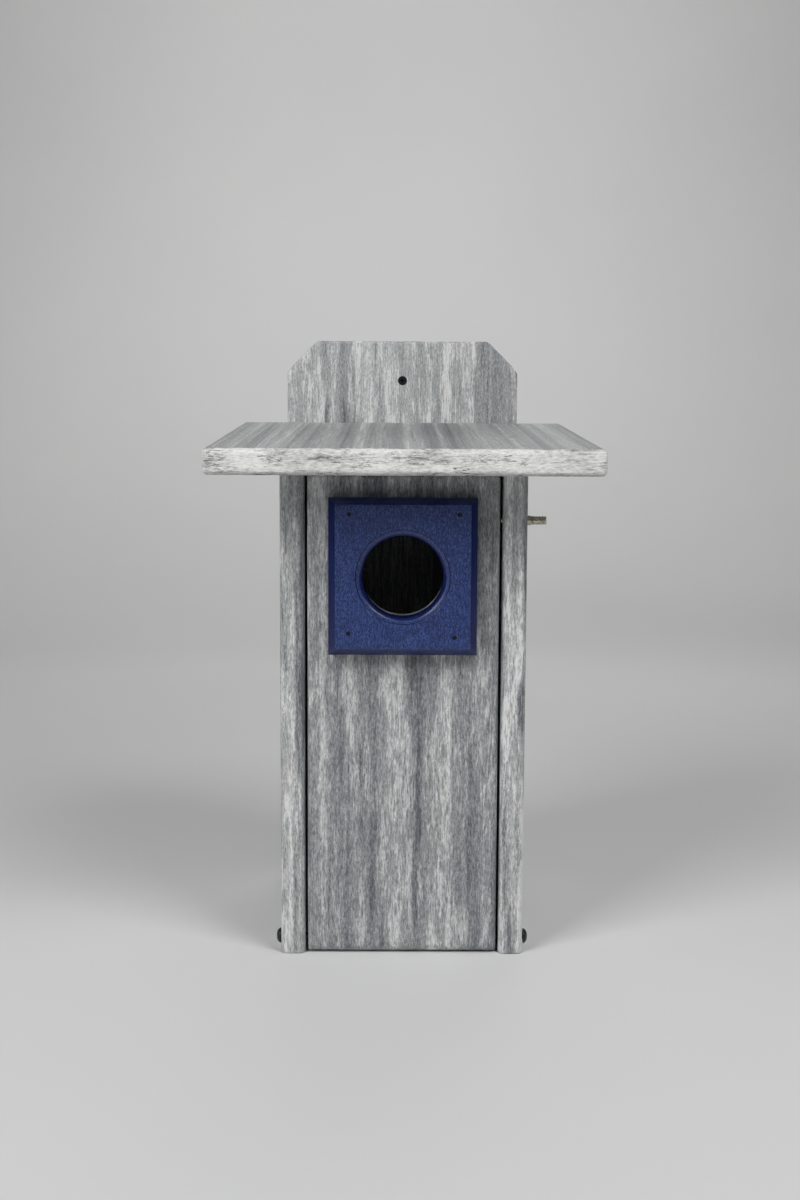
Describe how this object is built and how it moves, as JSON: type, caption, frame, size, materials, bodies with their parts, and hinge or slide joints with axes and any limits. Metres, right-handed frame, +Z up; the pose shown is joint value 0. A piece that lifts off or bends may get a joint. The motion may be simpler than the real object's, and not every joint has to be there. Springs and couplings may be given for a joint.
{
  "type": "birdhouse",
  "caption": "Post-mounted nest box of half-inch grey lumber boards: sloped overhanging roof, tall back board, blue entrance plate, and a front that drops open when its side latch is drawn.",
  "frame": {"origin": "centre of the bounding box at its base, on the surface the house stands on", "axes": "+Z up, -Y out of the entrance hole, +X to the right as seen from the front"},
  "size_m": [0.1778, 0.1908, 0.3048],
  "materials": {
    "grey_board": "matte recycled lumber board, streaked light and dark grey, embossed grain",
    "blue_board": "satin recycled lumber board, deep blue, fine speckle",
    "black_screw": "black coated steel",
    "latch_brass": "dull olive brass, turned",
    "nail_steel": "dark steel, small flush heads"
  },
  "bodies": {
    "house": {"back_board": "grey_board", "back_floor_screw_1": "black_screw", "back_floor_screw_2": "black_screw", "back_roof_screw_1": "black_screw", "back_roof_screw_2": "black_screw", "back_screw_left_1": "black_screw", "back_screw_left_2": "black_screw", "back_screw_left_3": "black_screw", "back_screw_right_1": "black_screw", "back_screw_right_2": "black_screw", "back_screw_right_3": "black_screw", "floor_panel": "grey_board", "floor_screw_left_1": "black_screw", "floor_screw_left_2": "black_screw", "floor_screw_right_1": "black_screw", "floor_screw_right_2": "black_screw", "latch_bush": "latch_brass", "left_side": "grey_board", "mounting_screw": "black_screw", "right_side": "grey_board", "roof": "grey_board", "roof_screw_left_1": "black_screw", "roof_screw_left_2": "black_screw", "roof_screw_right_1": "black_screw", "roof_screw_right_2": "black_screw"},
    "front": {"front_panel": "grey_board", "entrance_plate": "blue_board", "pivot_screw_left": "black_screw", "pivot_screw_right": "black_screw", "plate_nail_1": "nail_steel", "plate_nail_2": "nail_steel", "plate_nail_3": "nail_steel", "plate_nail_4": "nail_steel"},
    "latch": {"latch_pin": "latch_brass"}
  },
  "joints": [
    {"name": "front_tilt", "type": "hinge", "parent": "house", "child": "front", "pos_m": [0, -0.04005, 0.0073], "axis": [1, 0, 0], "range_deg": [0, 85]},
    {"name": "latch_withdraw", "type": "slide", "parent": "house", "child": "latch", "axis": [1, 0, 0], "range_m": [0, 0.018]}
  ]
}
